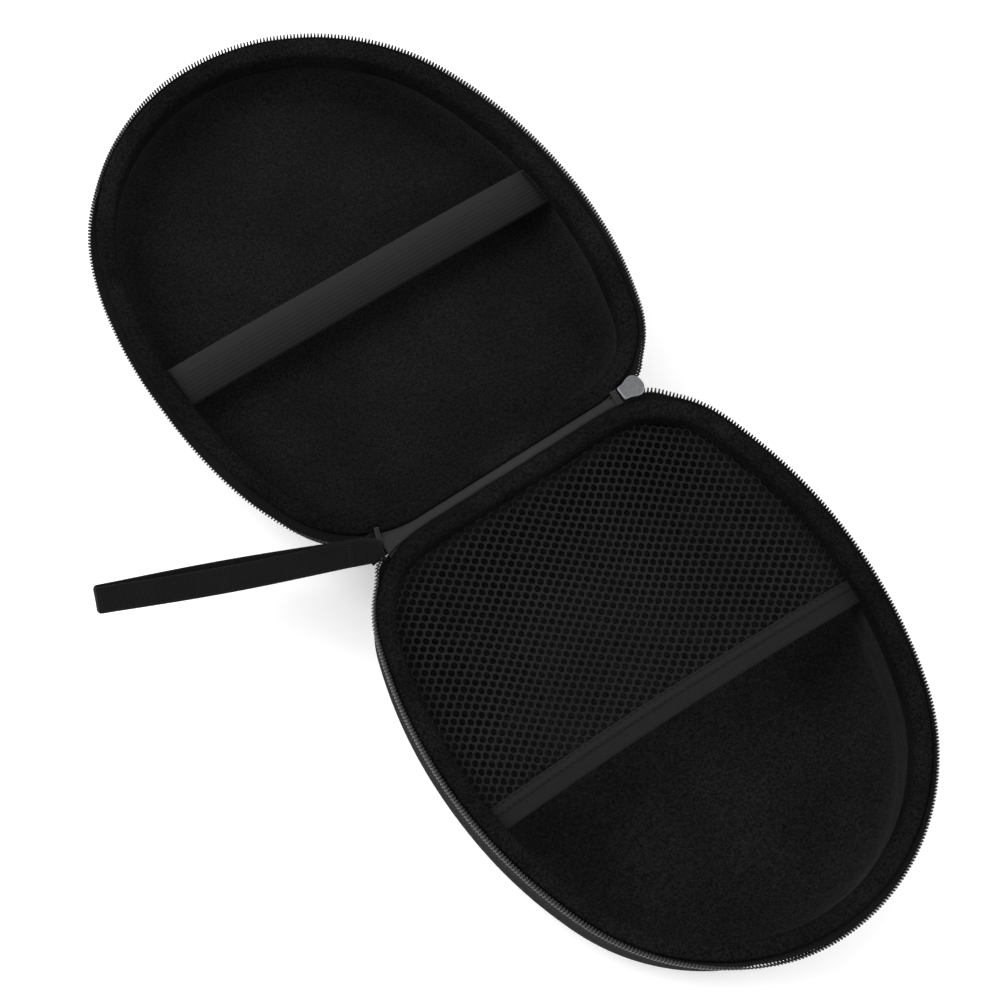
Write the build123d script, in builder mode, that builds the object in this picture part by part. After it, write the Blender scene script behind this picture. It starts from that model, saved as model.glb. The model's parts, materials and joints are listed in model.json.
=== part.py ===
from build123d import *
import os
from math import cos, radians, sin, tan

# Zipped clamshell headphone case, lying open and a little past flat.
# Frame: origin at the centre of the base's flat underside, +Z up, +X along the hinge,
# the base towards -Y and the lid towards +Y. Millimetres.

os.makedirs("parts", exist_ok=True)

# Mouth outline of each half, in its own plane: u along the hinge, v away from the hinge axis.
BACK_V = 2.2  # straight back of the shell, from the hinge axis
BACK_HALF = 40.3  # half length of the straight back
CORNER_R = 40.0
CORNER_TURN = 69.9  # degrees
SIDE_R = 174.0
SIDE_TURN = 40.5  # degrees; the far end closes the outline with one more arc

# Heights, measured as depth below the plane in which the two halves meet.
BASE_COIL = (0.15, 2.35)  # top and bottom: on the base the coil stands above its tape
LID_COIL = (3.25, 5.05)  # on the lid the tape lies out flat with the coil beneath it
TAPE_TOP = 2.4
TAPE_BOTTOM = 3.2
WALL_TOP = 3.25
TRIM_TOP = 0.4
TRIM_DEPTH = 10.5
TRIM_EDGE_R = 1.4
BASE_DEPTH = 48.0
LID_DEPTH = 27.2
BASE_FLOOR_R = 26.0
LID_FLOOR_R = 16.0
DRAFT = 5.0  # degrees, on all side walls below the tape
OPEN_PAST_FLAT = 6.5  # degrees that the lid lies beyond flat

# Shell laminate and sewn parts.
GAP = 0.05
COVER = 0.8
CORE = 3.4
LINING = 0.8
TRIM_WIDTH = 7.0
COIL_OUT = 2.4  # the coil's free edge stands this far outside the shell
TAPE_OUT = 1.9
TAPE_IN = 3.5
COIL_WIDTH = 2.2
ZIP_START = 66.0  # the free tapes start this far to each side of the hinge's middle
ZIP_START_DEPTH = 40.0  # and this far from the hinge axis the cut for it ends

# Hinge strip and the pieces on the fold.
LEAF_THICK = 1.0
LEAF_TOP = 1.0
LEAF_DEPTH = 18.0
FOLD_GAP = 0.35
LEAF_LEFT = -57.0
LEAF_RIGHT = 47.0
FOLD_HALF_WIDTH = 2.5
CHAIN_TOP = -1.2  # the closed end of the tapes, as heights from the hinge axis
CHAIN_BOTTOM = -2.0

# Pocket and strap.
WIDER_THAN_CASE = 260.0  # sketch size of bands that are then cut to the mouth
FABRIC_INSET = TRIM_WIDTH + 3 * GAP
POCKET_DEPTH = 8.0
POCKET_THICK = 0.6
HEM_V = 102.8
HEM_SKEW = 0.9  # degrees
BINDING_WIDTH = 4.0
BINDING_THICK = 0.7
ELASTIC_WIDTH = 5.2
ELASTIC_THICK = 1.4
POCKET_THREAD = 0.3
STRAP_V = 94.0
STRAP_SKEW = 1.0  # degrees
STRAP_WIDTH = 17.0
STRAP_DEPTH = 6.5
STRAP_THICK = 1.3
TACK_HEIGHT = 0.4
TACK_WIDTH = 1.6
TACK_INSET = 4.0

# Slider, set on the hinge axis.
SLIDER_BACK = 50.2
SLIDER_NOSE = 61.0
SLIDER_TOP = 1.3
SLIDER_BOTTOM = -4.2
PLATE = 1.0
PULL_X = 55.5
PULL_PIVOT = -5.1
PULL_LENGTH = 33.0

# Wrist strap.
WEBBING = 1.2
WEBBING_WIDTH = 10.0
WRIST_LENGTH = 95.0
WRIST_YAW = 23.8  # degrees, from -X towards the lid
WRIST_DROOP = 6.0  # degrees
WRIST_ROLL = 40.0  # degrees, face turned towards the base
WRIST_ROOT = (-64.9, 1.6, 0.0)  # from the middle of the hinge
WRIST_EYE_START = 10.0  # the two layers part here
BARTACK_AT = 4.5

# The outline's far end, by adding up its arcs, puts the origin in the middle of the base.
turned = radians(CORNER_TURN + SIDE_TURN)
side_end_u = (
    BACK_HALF
    + CORNER_R * sin(radians(CORNER_TURN))
    + SIDE_R * (sin(turned) - sin(radians(CORNER_TURN)))
)
side_end_v = (
    BACK_V
    + CORNER_R * (1 - cos(radians(CORNER_TURN)))
    + SIDE_R * (cos(radians(CORNER_TURN)) - cos(turned))
)
far_end_v = side_end_v + side_end_u / sin(turned) * (1 + cos(turned))
HINGE = Vector(0, (BACK_V + far_end_v) / 2, BASE_DEPTH)

# Depth planes: local x along the hinge, local y away from it, local z down into the shell.
droop = radians(OPEN_PAST_FLAT)
base_plane = Plane(origin=HINGE, x_dir=(1, 0, 0), z_dir=(0, 0, -1))
lid_plane = Plane(origin=HINGE, x_dir=(-1, 0, 0), z_dir=(0, -sin(droop), -cos(droop)))


def mouth(plane, inset):
    """Outline of the mouth, drawn inset mm inside the shell's outer face."""
    end_turn = 180 - CORNER_TURN - SIDE_TURN
    with BuildSketch(plane) as outline:
        with BuildLine():
            back = Line((0, BACK_V + inset), (BACK_HALF, BACK_V + inset))
            corner = JernArc(back @ 1, back % 1, CORNER_R - inset, CORNER_TURN)
            side = JernArc(corner @ 1, corner % 1, SIDE_R - inset, SIDE_TURN)
            end_r = (side @ 1).X / sin(radians(end_turn))
            JernArc(side @ 1, side % 1, end_r, end_turn)
            mirror(about=Plane.YZ)
        make_face()
    return outline.sketch


def drafted(inset, depth):
    """Inset of a wall surface at a depth, from its inset at the tape."""
    return inset + (depth - TAPE_TOP) * tan(radians(DRAFT))


def down(plane):
    """Direction into a half's shell."""
    return Axis(plane.origin, plane.z_dir)


def tub(plane, inset, top, depth, floor_r):
    """Solid tub: the mouth outline drawn down to a rounded floor."""
    with BuildPart() as solid:
        extrude(mouth(plane.offset(top), drafted(inset, top)), amount=depth - top, taper=DRAFT)
        fillet(solid.faces().sort_by(down(plane))[-1].edges(), floor_r)
    return solid.part


def shell_layer(plane, inset, thickness, depth, floor_r):
    """One layer of the laminate, inset mm inside the cover's outer face."""
    inner = inset + thickness
    outside = tub(plane, inset, WALL_TOP, depth - inset, floor_r - inset)
    inside = tub(plane, inner, WALL_TOP, depth - inner, floor_r - inner)
    with BuildPart() as layer:
        add(outside)
        add(inside, mode=Mode.SUBTRACT)
    return layer.part


def rim_trim(plane):
    """Fabric-covered binding: a rounded cap over the wall and a skirt inside it."""
    skirt_out = COVER + CORE + LINING + 3 * GAP
    skirt_top = TAPE_TOP - GAP
    with BuildPart() as trim:
        extrude(mouth(plane.offset(TRIM_TOP), 0), amount=skirt_top - TRIM_TOP)
        extrude(
            mouth(plane.offset(skirt_top), drafted(skirt_out, skirt_top)),
            amount=TRIM_DEPTH - skirt_top,
            taper=DRAFT,
        )
        extrude(mouth(plane.offset(TRIM_TOP), TRIM_WIDTH), amount=TRIM_DEPTH, mode=Mode.SUBTRACT)
        fillet(trim.faces().sort_by(down(plane))[0].edges(), TRIM_EDGE_R)
    return trim.part


def zipper_band(plane, top, bottom, inset_out, inset_in):
    """Strip around the mouth, open across the hinge where the slider and the ends sit."""
    with BuildPart() as band:
        extrude(mouth(plane.offset(top), inset_out), amount=bottom - top)
        extrude(mouth(plane.offset(top), inset_in), amount=bottom - top, mode=Mode.SUBTRACT)
        with BuildSketch(plane):
            Rectangle(2 * ZIP_START, 2 * ZIP_START_DEPTH)
        extrude(amount=bottom + 1, mode=Mode.SUBTRACT)
    return band.part


def hinge_leaf(plane, u_low, u_high):
    """Half of the hinge cloth: a skin on the shell's back and a lip that ends at the fold."""
    reach = 16.0
    with BuildPart() as leaf:
        extrude(mouth(plane.offset(LEAF_TOP), -LEAF_THICK), amount=TAPE_TOP - LEAF_TOP)
        extrude(
            mouth(plane.offset(TAPE_TOP), -LEAF_THICK), amount=LEAF_DEPTH - TAPE_TOP, taper=DRAFT
        )
        with BuildSketch(plane.offset(LEAF_TOP)):
            with Locations((0, FOLD_GAP)):
                Rectangle(3 * BACK_HALF, reach, align=(Align.CENTER, Align.MIN))
        extrude(amount=LEAF_THICK)
        extrude(mouth(plane, -GAP), amount=TAPE_TOP, mode=Mode.SUBTRACT)
        extrude(
            mouth(plane.offset(TAPE_TOP), -GAP), amount=LEAF_DEPTH, taper=DRAFT, mode=Mode.SUBTRACT
        )
        with BuildSketch(plane):
            with Locations((u_low, 0)):
                Rectangle(u_high - u_low, reach, align=(Align.MIN, Align.MIN))
        extrude(amount=LEAF_DEPTH, mode=Mode.INTERSECT)
    return leaf.part


def band_across(plane, inset, v_middle, width, skew, thickness):
    """Flat band that runs from one side of the mouth to the other."""
    inside = mouth(Plane.XY, inset)
    with BuildPart() as band:
        with BuildSketch(plane):
            with Locations(Location((0, v_middle, 0), (0, 0, skew))):
                Rectangle(WIDER_THAN_CASE, width)
            add(inside, mode=Mode.INTERSECT)
        extrude(amount=thickness)
    return band.part


def stitch_row(plane, v_middle, skew, height):
    """Row of separate stitches along a skewed line across the mouth."""
    length = 2.6
    width = 0.5
    pitch = 4.0
    count = 38
    with BuildPart() as row:
        with BuildSketch(plane):
            with Locations(Location((0, v_middle, 0), (0, 0, skew))):
                with GridLocations(pitch, 1, count, 1):
                    Rectangle(length, width)
        extrude(amount=height)
    return row.part


def make_half(prefix, plane, depth, floor_r, coil, u_low, u_high):
    """All the pieces that both halves have."""
    core_in = COVER + GAP
    lining_in = core_in + CORE + GAP
    coil_in = COIL_WIDTH - COIL_OUT
    return {
        prefix + "_cover": shell_layer(plane, 0, COVER, depth, floor_r),
        prefix + "_core": shell_layer(plane, core_in, CORE, depth, floor_r),
        prefix + "_lining": shell_layer(plane, lining_in, LINING, depth, floor_r),
        prefix + "_rim_trim": rim_trim(plane),
        prefix + "_zipper_tape": zipper_band(plane, TAPE_TOP, TAPE_BOTTOM, -TAPE_OUT, TAPE_IN),
        prefix + "_zipper_coil": zipper_band(plane, *coil, -COIL_OUT, coil_in),
        prefix + "_hinge_leaf": hinge_leaf(plane, u_low, u_high),
    }


def mesh_pocket():
    """Net over the hinge side of the base, from the trim to the skewed hem."""
    inside = mouth(Plane.XY, FABRIC_INSET)
    with BuildPart() as pocket:
        with BuildSketch(base_plane.offset(POCKET_DEPTH)):
            with Locations(Location((0, HEM_V + BINDING_WIDTH / 2, 0), (0, 0, HEM_SKEW))):
                Rectangle(WIDER_THAN_CASE, WIDER_THAN_CASE, align=(Align.CENTER, Align.MAX))
            add(inside, mode=Mode.INTERSECT)
        extrude(amount=POCKET_THICK)
    return pocket.part


def pocket_parts():
    """Mesh, its folded binding, the elastic along its edge and the thread."""
    binding_plane = base_plane.offset(POCKET_DEPTH - GAP - BINDING_THICK)
    elastic_v = HEM_V + BINDING_WIDTH / 2 + GAP * 2 + ELASTIC_WIDTH / 2
    thread_plane = binding_plane.offset(-GAP - POCKET_THREAD)
    return {
        "mesh_pocket": mesh_pocket(),
        "pocket_binding": band_across(
            binding_plane, FABRIC_INSET, HEM_V, BINDING_WIDTH, HEM_SKEW, BINDING_THICK
        ),
        "pocket_elastic": band_across(
            binding_plane, FABRIC_INSET, elastic_v, ELASTIC_WIDTH, HEM_SKEW, ELASTIC_THICK
        ),
        "pocket_stitching": stitch_row(thread_plane, HEM_V, HEM_SKEW, POCKET_THREAD),
    }


def strap_parts():
    """Elastic band across the lid and the bar tacks at its ends."""
    plane = lid_plane.offset(STRAP_DEPTH)
    strap = band_across(plane, FABRIC_INSET, STRAP_V, STRAP_WIDTH, STRAP_SKEW, STRAP_THICK)
    reach = strap.bounding_box().size.X / 2 - TACK_INSET
    with BuildPart() as tacks:
        with BuildSketch(lid_plane.offset(STRAP_DEPTH - GAP - TACK_HEIGHT)):
            with Locations(Location((0, STRAP_V, 0), (0, 0, STRAP_SKEW))):
                with Locations((-reach, 0), (reach, 0)):
                    Rectangle(TACK_WIDTH, STRAP_WIDTH - 3)
        extrude(amount=TACK_HEIGHT)
    return {"elastic_strap": strap, "strap_stitching": tacks.part}


def fold_plane(height):
    """Plane level with the rest-pose hinge axis, height mm above it."""
    return Plane(origin=HINGE + Vector(0, 0, height))


def fold_box(x_low, x_high, low, high, edge):
    """Pad across the fold, between two heights from the hinge axis."""
    with BuildPart() as block:
        with BuildSketch(fold_plane(low)):
            with Locations((x_low, 0)):
                Rectangle(x_high - x_low, 2 * FOLD_HALF_WIDTH, align=(Align.MIN, Align.CENTER))
        extrude(amount=high - low)
        fillet(block.edges().filter_by(Axis.Z), edge)
    return block.part


def left_end_tab():
    """Folded cloth that closes the other end of the fold; the wrist strap is sewn to it."""
    length = 7.0
    half_thick = 1.2
    x_high = LEAF_LEFT - 0.3
    return fold_box(x_high - length, x_high, -half_thick, half_thick, 1.0)


def right_end_tab():
    """Cloth folded over the closed end of the zipper: a U that opens towards the slider."""
    cloth = 0.6
    x_low = LEAF_RIGHT + 0.25
    outside = fold_box(x_low, SLIDER_BACK - 0.3, CHAIN_BOTTOM - 1.0, CHAIN_TOP + 1.0, 0.4)
    with BuildPart() as tab:
        add(outside)
        with BuildSketch(fold_plane(CHAIN_BOTTOM - GAP)):
            with Locations((x_low + cloth, 0)):
                Rectangle(10, 4 * FOLD_HALF_WIDTH, align=(Align.MIN, Align.CENTER))
        extrude(amount=CHAIN_TOP - CHAIN_BOTTOM + 2 * GAP, mode=Mode.SUBTRACT)
    return tab.part


def zipper_chain_end():
    """Closed end of the chain: both tapes side by side with the meshed coil on top."""
    chain_end_x = 57.0
    coil_width = 3.8
    coil_height = 1.3
    tape_x = LEAF_RIGHT + 0.9
    coil_x = SLIDER_BACK - 0.1
    with BuildPart() as chain:
        with BuildSketch(fold_plane(CHAIN_BOTTOM)):
            with Locations((tape_x, 0)):
                Rectangle(
                    chain_end_x - tape_x, 2 * FOLD_HALF_WIDTH, align=(Align.MIN, Align.CENTER)
                )
        extrude(amount=CHAIN_TOP - CHAIN_BOTTOM)
        with BuildSketch(fold_plane(CHAIN_TOP)):
            with Locations((coil_x, 0)):
                Rectangle(chain_end_x - coil_x, coil_width, align=(Align.MIN, Align.CENTER))
        extrude(amount=coil_height)
    return chain.part


def slider_outline(plane, shrink):
    """Shield outline: flat narrow end towards the hinge, rounded nose away from it."""
    nose_r = 4.1
    corner_r = 1.2
    corner_y = 1.6
    corner_x = SLIDER_BACK + corner_r
    with BuildSketch(plane) as outline:
        with Locations((corner_x, corner_y), (corner_x, -corner_y)):
            Circle(corner_r - shrink)
        with Locations((SLIDER_NOSE - nose_r, 0)):
            Circle(nose_r - shrink)
        make_hull()
    return outline.sketch


def slider_body():
    """Two plates joined by the wedge at the nose, with a lip along each side."""
    lip = 0.9
    edge_r = 0.45
    slot = (-2.3, -0.9)
    end_opening = 4.4
    past_sides = 20.0  # the slot's cut is longer and wider than the slider
    post = (1.4, 0.9)
    inner_under = SLIDER_TOP - PLATE
    outer_over = SLIDER_BOTTOM + PLATE
    with BuildPart() as slider:
        extrude(slider_outline(fold_plane(SLIDER_BOTTOM), 0), amount=SLIDER_TOP - SLIDER_BOTTOM)
        fillet(slider.faces().sort_by(Axis.Z)[-1].edges(), edge_r)
        # the hollow between the plates, and the slots that the tapes leave through
        extrude(
            slider_outline(fold_plane(outer_over), lip),
            amount=inner_under - outer_over,
            mode=Mode.SUBTRACT,
        )
        with BuildSketch(fold_plane(slot[0])):
            with Locations((SLIDER_BACK - 1, 0)):
                Rectangle(past_sides, past_sides, align=(Align.MIN, Align.CENTER))
        extrude(amount=slot[1] - slot[0], mode=Mode.SUBTRACT)
        # both ends open between the plates
        with BuildSketch(fold_plane(outer_over)):
            with Locations((SLIDER_BACK, 0), (SLIDER_NOSE, 0)):
                Rectangle(end_opening, past_sides)
        extrude(amount=inner_under - outer_over, mode=Mode.SUBTRACT)
        with BuildSketch(fold_plane(outer_over)):
            with Locations((SLIDER_NOSE - 2.2, 0)):
                Ellipse(*post)
        extrude(amount=inner_under - outer_over)
    return slider.part


def fold_section(x):
    """Plane across the fold, looking along -Y, for the bridge."""
    return Plane(origin=HINGE + Vector(x, 0, 0), x_dir=(1, 0, 0), z_dir=(0, -1, 0))


def slider_bridge():
    """Loop on the outer plate that holds the pull tab."""
    foot = SLIDER_BOTTOM - GAP
    length = 6.0
    height = 2.95
    wire = 1.2
    half_width = 1.0
    corner_r = 0.8
    with BuildPart() as bridge:
        with BuildSketch(fold_section(PULL_X)):
            with Locations((0, foot)):
                Rectangle(length, height, align=(Align.CENTER, Align.MAX))
                Rectangle(
                    length - 2 * wire,
                    height - wire,
                    align=(Align.CENTER, Align.MAX),
                    mode=Mode.SUBTRACT,
                )
        extrude(amount=half_width, both=True)
        fillet(bridge.faces().sort_by(Axis.Z)[0].edges().filter_by(Axis.Y), corner_r)
    return bridge.part


def pull_tab():
    """Flat puller with an eye; the eye's bar sits inside the bridge."""
    bar_r = 0.6
    eye_half = 1.4
    eye_length = 3.9
    neck_half = 2.6
    neck_length = 9.0
    grip_half = 3.2
    hole_r = 1.3
    hole_up = 3.6  # the hole's height above the puller's free end
    end_flat = 0.8  # half of what stays straight across the rounded free end
    hang = (Align.CENTER, Align.MAX)
    pivot = HINGE + Vector(PULL_X, 0, PULL_PIVOT)
    with BuildPart() as tab:
        with BuildSketch(Plane(origin=pivot, x_dir=(0, 1, 0), z_dir=(1, 0, 0))):
            with Locations((0, bar_r)):
                Rectangle(2 * neck_half, neck_length + grip_half, align=hang)
            with Locations((0, bar_r - neck_length)):
                Rectangle(2 * grip_half, PULL_LENGTH - neck_length, align=hang)
            with Locations((0, -bar_r)):
                Rectangle(2 * eye_half, eye_length, align=hang, mode=Mode.SUBTRACT)
            with Locations((0, hole_up - PULL_LENGTH)):
                Circle(hole_r, mode=Mode.SUBTRACT)
        extrude(amount=bar_r, both=True)
        fillet(tab.faces().sort_by(Axis.Z)[0].edges().filter_by(Axis.X), grip_half - end_flat)
    return tab.part


def wrist_plane():
    """Local x along the strap, local y out of its face, local z across its width."""
    yaw, pitch, roll = radians(WRIST_YAW), radians(WRIST_DROOP), radians(WRIST_ROLL)
    along = Vector(-cos(yaw) * cos(pitch), sin(yaw) * cos(pitch), -sin(pitch))
    level = Vector(-sin(yaw), -cos(yaw), 0)
    upright = along.cross(level)
    face = upright * cos(roll) + level * sin(roll)
    root = HINGE + Vector(*WRIST_ROOT)
    return Plane(origin=root, x_dir=along, z_dir=along.cross(face))


def wrist_strap():
    """Webbing loop: both ends sewn together at the root, a round bend at the tip."""
    root_r = WEBBING + 0.15
    tip_r = 3.0
    with BuildPart() as strap:
        with BuildSketch(wrist_plane()):
            with Locations((root_r, 0)):
                Circle(root_r)
            with Locations((WRIST_LENGTH - tip_r, 0)):
                Circle(tip_r)
            make_hull()
        extrude(amount=WEBBING_WIDTH / 2, both=True)
        with BuildSketch(wrist_plane()):
            with Locations((WRIST_EYE_START, 0)):
                Circle(root_r - WEBBING)
            with Locations((WRIST_LENGTH - tip_r, 0)):
                Circle(tip_r - WEBBING)
            make_hull()
        extrude(amount=WEBBING_WIDTH / 2, both=True, mode=Mode.SUBTRACT)
    return strap.part


def wrist_bartack():
    """Thread pads on both faces of the strap's root."""
    pad = 0.35
    length = 3.0
    face = WEBBING + 0.4 + pad / 2
    with BuildPart() as tack:
        with BuildSketch(wrist_plane()):
            with Locations((BARTACK_AT, face), (BARTACK_AT, -face)):
                Rectangle(length, pad)
        extrude(amount=WEBBING_WIDTH / 2 - 1, both=True)
    return tack.part


pieces = {}
base_sizes = (base_plane, BASE_DEPTH, BASE_FLOOR_R, BASE_COIL)
lid_sizes = (lid_plane, LID_DEPTH, LID_FLOOR_R, LID_COIL)
pieces.update(make_half("base", *base_sizes, LEAF_LEFT, LEAF_RIGHT))
pieces.update(make_half("lid", *lid_sizes, -LEAF_RIGHT, -LEAF_LEFT))
pieces.update(pocket_parts())
pieces.update(strap_parts())
pieces["left_end_tab"] = left_end_tab()
pieces["right_end_tab"] = right_end_tab()
pieces["zipper_chain_end"] = zipper_chain_end()
pieces["slider_body"] = slider_body()
pieces["slider_bridge"] = slider_bridge()
pieces["pull_tab"] = pull_tab()
pieces["wrist_strap"] = wrist_strap()
pieces["wrist_bartack"] = wrist_bartack()

for name, piece in pieces.items():
    piece.label = name
    export_step(piece, f"parts/{name}.step")
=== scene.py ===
import json
import math

import bmesh
import bpy
import numpy as np
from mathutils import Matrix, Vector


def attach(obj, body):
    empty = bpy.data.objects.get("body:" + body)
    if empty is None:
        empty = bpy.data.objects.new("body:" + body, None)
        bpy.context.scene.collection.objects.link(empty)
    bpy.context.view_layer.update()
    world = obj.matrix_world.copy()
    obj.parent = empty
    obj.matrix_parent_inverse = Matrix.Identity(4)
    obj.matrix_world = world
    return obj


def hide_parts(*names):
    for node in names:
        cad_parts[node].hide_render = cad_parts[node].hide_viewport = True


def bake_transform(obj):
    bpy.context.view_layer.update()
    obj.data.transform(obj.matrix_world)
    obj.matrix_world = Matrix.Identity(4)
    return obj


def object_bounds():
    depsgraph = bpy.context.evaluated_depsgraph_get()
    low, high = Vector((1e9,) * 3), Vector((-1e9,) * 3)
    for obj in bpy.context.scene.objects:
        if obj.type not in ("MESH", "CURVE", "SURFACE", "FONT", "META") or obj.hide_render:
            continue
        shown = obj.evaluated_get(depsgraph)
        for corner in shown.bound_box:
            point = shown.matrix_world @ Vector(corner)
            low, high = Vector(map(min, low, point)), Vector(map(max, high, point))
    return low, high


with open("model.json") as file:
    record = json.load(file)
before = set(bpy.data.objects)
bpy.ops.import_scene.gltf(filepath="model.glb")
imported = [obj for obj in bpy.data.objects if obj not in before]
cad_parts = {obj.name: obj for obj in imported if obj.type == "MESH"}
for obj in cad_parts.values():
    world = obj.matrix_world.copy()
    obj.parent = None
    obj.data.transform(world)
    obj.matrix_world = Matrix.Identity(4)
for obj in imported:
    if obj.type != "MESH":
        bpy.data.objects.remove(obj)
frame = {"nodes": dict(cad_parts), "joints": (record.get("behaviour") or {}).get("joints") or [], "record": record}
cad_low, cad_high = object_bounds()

# Zipped headphone case, lying open. Lengths are in millimetres until a mesh is made.
# Each half has its own coordinates: u along the hinge, v away from it, w down into the shell.

MM = 0.001
JOINTS = {joint["name"]: joint for joint in frame["joints"]}
HINGE = np.array(JOINTS["lid_hinge"]["pos_m"]) / MM
OPEN_PAST_FLAT = math.radians(JOINTS["lid_hinge"]["range_deg"][1] - 180)

# Mouth outline, the same for both halves: a straight back, then a corner, a side and the far end.
BACK_V = 2.2
BACK_HALF = 40.3
CORNER_R = 40.0
CORNER_TURN = math.radians(69.9)
SIDE_R = 174.0
SIDE_TURN = math.radians(40.5)
TURNED = CORNER_TURN + SIDE_TURN
END_R = (
    BACK_HALF + CORNER_R * math.sin(CORNER_TURN)
    + SIDE_R * (math.sin(TURNED) - math.sin(CORNER_TURN))
) / math.sin(TURNED)
ARCS = ((CORNER_R, CORNER_TURN), (SIDE_R, SIDE_TURN), (END_R, math.pi - TURNED))
PERIMETER = 2 * (BACK_HALF + sum(radius * turn for radius, turn in ARCS))

DRAFT = math.tan(math.radians(5))
TAPE_W = 2.4
COVER = 0.8
LINING_IN = 5.15
TRIM_WIDTH = 7.0
BASE_DEPTH = 48.0
LID_DEPTH = 27.2
BASE_FLOOR_R = 26.0
LID_FLOOR_R = 16.0
COVER_TOP = 3.25
LINING_TOP = 3.4
POCKET_W = 8.0
HEM_V = 102.8
HEM_SKEW = math.radians(0.9)
STRAP_V = 94.0
STRAP_SKEW = math.radians(1.0)
STRAP_W = 6.5
STRAP_WIDTH = 17.0
STRAP_TACK = 79.6  # the bar tacks' distance from the strap's middle

rng = np.random.RandomState(11)


# ---- outline and the two halves

def outline(s):
    """Point and outward normal of the mouth outline, s mm round it from the back's middle."""
    s = np.mod(np.asarray(s, float), PERIMETER)
    mirrored = s > PERIMETER / 2
    t = np.where(mirrored, PERIMETER - s, s)
    u = np.minimum(t, BACK_HALF)
    v = np.full_like(t, BACK_V)
    heading = np.zeros_like(t)
    start = BACK_HALF
    for radius, turn in ARCS:
        step = np.clip((t - start) / radius, 0, turn)
        u = u + radius * (np.sin(heading + step) - np.sin(heading))
        v = v + radius * (np.cos(heading) - np.cos(heading + step))
        heading = heading + step
        start += radius * turn
    flip = np.where(mirrored, -1.0, 1.0)
    return u * flip, v, np.sin(heading) * flip, -np.cos(heading)


def s_at(u):
    """Distance round the outline of the corner point that lies u mm along the hinge, u > BACK_HALF."""
    return BACK_HALF + CORNER_R * math.asin((u - BACK_HALF) / CORNER_R)


class Half:
    """Places u, v, w points of one half in the frame."""

    def __init__(self, body, side, tilt):
        self.body = body
        self.side = side
        self.tilt = tilt

    def place(self, u, v, w):
        u, v, w = np.broadcast_arrays(u, v, w)
        c, s = math.cos(self.tilt), math.sin(self.tilt)
        x = -self.side * u
        y = self.side * (v * c - w * s)
        z = -v * s - w * c
        return HINGE + np.stack([x, y, z], axis=-1)


BASE = Half("base", -1, 0.0)
LID = Half("lid", 1, OPEN_PAST_FLAT)


def waves(x, length, counts, amount):
    """Smooth unevenness that repeats after length: a few sine waves with seeded phases."""
    total = 0.0
    for count in counts:
        total = total + np.sin(2 * math.pi * count * x / length + rng.uniform(0, 6.3))
    return amount * total / math.sqrt(len(counts))


def unit(vectors):
    return vectors / np.linalg.norm(vectors, axis=-1, keepdims=True)


def running_length(points):
    """Length along a line of points, from 0 at the first."""
    return np.concatenate([[0], np.cumsum(np.linalg.norm(np.diff(points, axis=0), axis=1))])


def smooth_closed(points, per_span):
    """Closed Catmull-Rom curve through the points."""
    p = np.asarray(points, float)
    a, b, c, d = np.roll(p, 1, 0), p, np.roll(p, -1, 0), np.roll(p, -2, 0)
    spans = []
    for t in np.arange(per_span) / per_span:
        spans.append(
            0.5 * (2 * b + (c - a) * t + (2 * a - 5 * b + 4 * c - d) * t**2
                   + (3 * b - a - 3 * c + d) * t**3)
        )
    return np.stack(spans, 1).reshape(-1, p.shape[1])


# ---- meshes

def add_object(name, data):
    obj = bpy.data.objects.new(name, data)
    bpy.context.scene.collection.objects.link(obj)
    return obj


def make_mesh(name, points, faces, corner_uv, material, smooth=True):
    """Mesh object from millimetre points; corner_uv lists one uv per face corner, in mm."""
    mesh = bpy.data.meshes.new(name)
    mesh.from_pydata((np.asarray(points) * MM).tolist(), [], faces)
    layer = mesh.uv_layers.new(name="cloth")
    layer.data.foreach_set("uv", np.asarray(corner_uv, np.float32).ravel())
    work = bmesh.new()
    work.from_mesh(mesh)
    bmesh.ops.recalc_face_normals(work, faces=work.faces)
    work.to_mesh(mesh)
    work.free()
    mesh.polygons.foreach_set("use_smooth", [smooth] * len(mesh.polygons))
    mesh.materials.append(MATERIALS[material])
    return add_object(name, mesh)


def grid_faces(rows, cols, wrap_rows, wrap_cols):
    """Quads of a rows x cols grid, with the uv cell index of each corner."""
    i, j = np.meshgrid(
        np.arange(rows if wrap_rows else rows - 1),
        np.arange(cols if wrap_cols else cols - 1), indexing="ij",
    )
    i, j = i.ravel(), j.ravel()
    corners = [(i, j), (i + 1, j), (i + 1, j + 1), (i, j + 1)]
    faces = np.stack([(a % rows) * cols + b % cols for a, b in corners], 1)
    cells = np.stack([np.stack([a, b], 1) for a, b in corners], 1)
    return faces, cells


def swept(name, points, along, across, material, closed_along, closed_across=True):
    """Surface through a grid of sections; open ends of a closed section are capped."""
    rows, cols = points.shape[:2]
    faces, cells = grid_faces(rows, cols, closed_along, closed_across)
    uv = np.stack([np.asarray(along)[cells[..., 0]], np.asarray(across)[cells[..., 1]]], -1)
    face_list = faces.tolist()
    uv = uv.reshape(-1, 2).tolist()
    if closed_across and not closed_along:
        for row in (0, rows - 1):
            face_list.append((row * cols + np.arange(cols)).tolist())
            uv += [(along[row], across[k]) for k in range(cols)]
    return make_mesh(name, points.reshape(-1, 3), face_list, uv, material)


def joined(parts):
    """One list of points, faces and uvs from several (points, faces, uvs)."""
    points, faces, uvs, count = [], [], [], 0
    for p, f, t in parts:
        points.append(p)
        faces += [[k + count for k in face] for face in f]
        uvs += t
        count += len(p)
    return np.concatenate(points), faces, uvs


def section_lengths(section):
    """Running length round a closed section, one value longer than the section."""
    return running_length(np.vstack([section, section[:1]]))


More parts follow.
